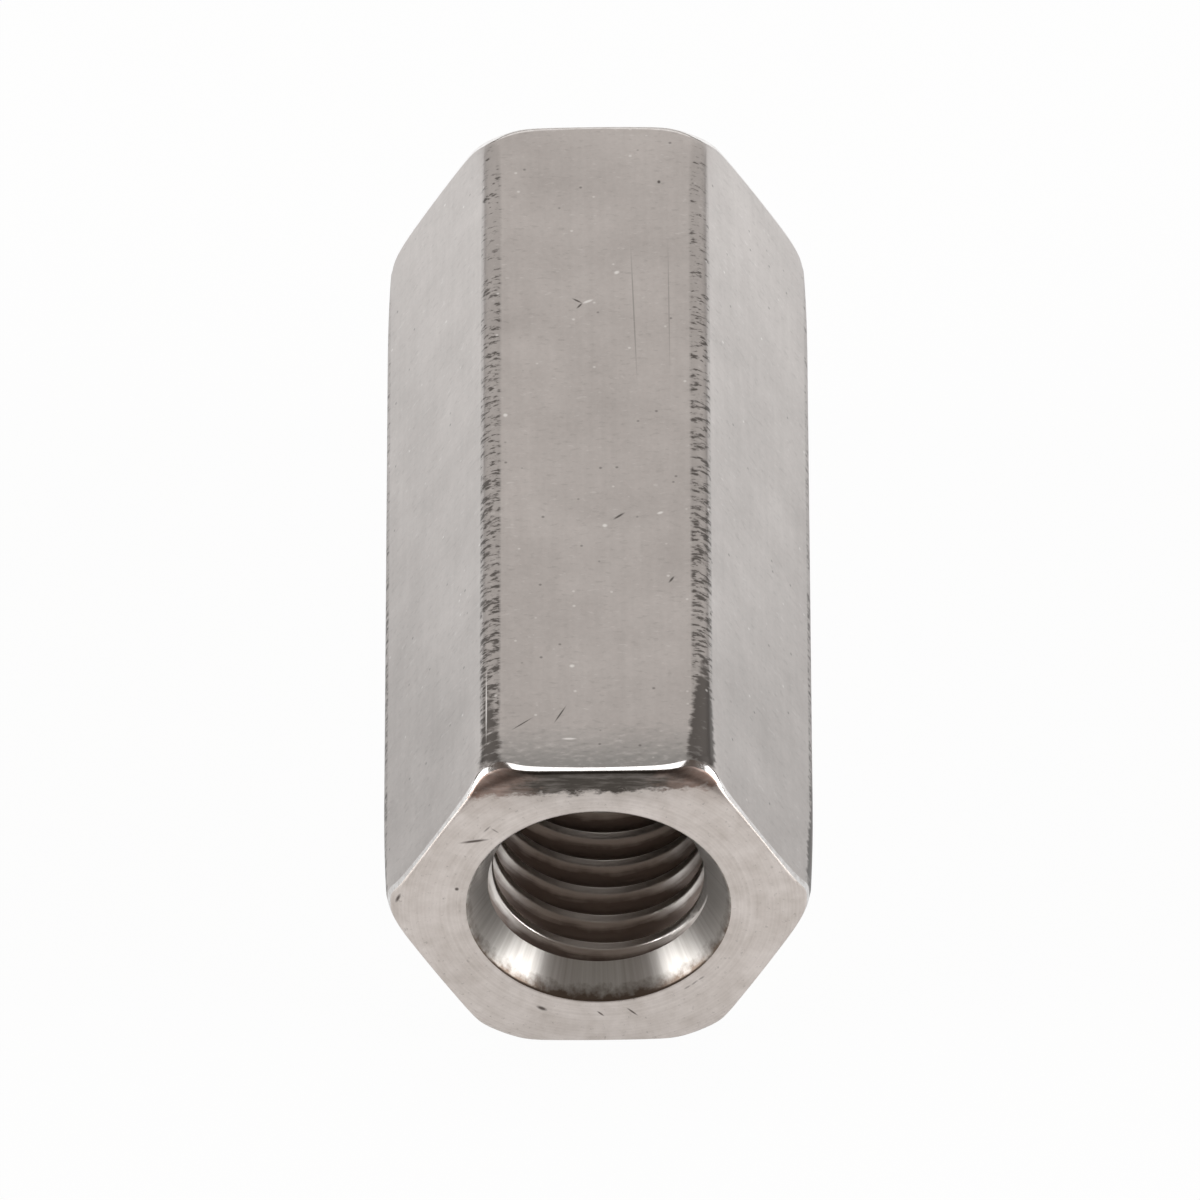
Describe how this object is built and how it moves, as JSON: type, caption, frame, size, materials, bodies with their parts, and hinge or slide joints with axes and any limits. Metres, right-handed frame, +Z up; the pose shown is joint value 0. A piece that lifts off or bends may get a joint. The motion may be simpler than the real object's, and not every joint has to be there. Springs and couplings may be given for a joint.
{
  "type": "coupling nut",
  "caption": "Long stainless-steel hexagon coupling nut, threaded right through and countersunk and chamfered at both ends, that joins threaded rods end to end.",
  "frame": {"origin": "middle of the thread axis, halfway between the end faces", "axes": "+Y along the thread axis, away from the end that faces the viewer in the picture; +Z up, square to the flat that the nut lies on; +X to a long corner"},
  "size_m": [0.0136, 0.03, 0.012],
  "materials": {
    "steel": "drawn and tumbled flats, turned end faces, cut thread"
  },
  "bodies": {
    "root": {"coupling_nut": "steel"}
  },
  "joints": []
}
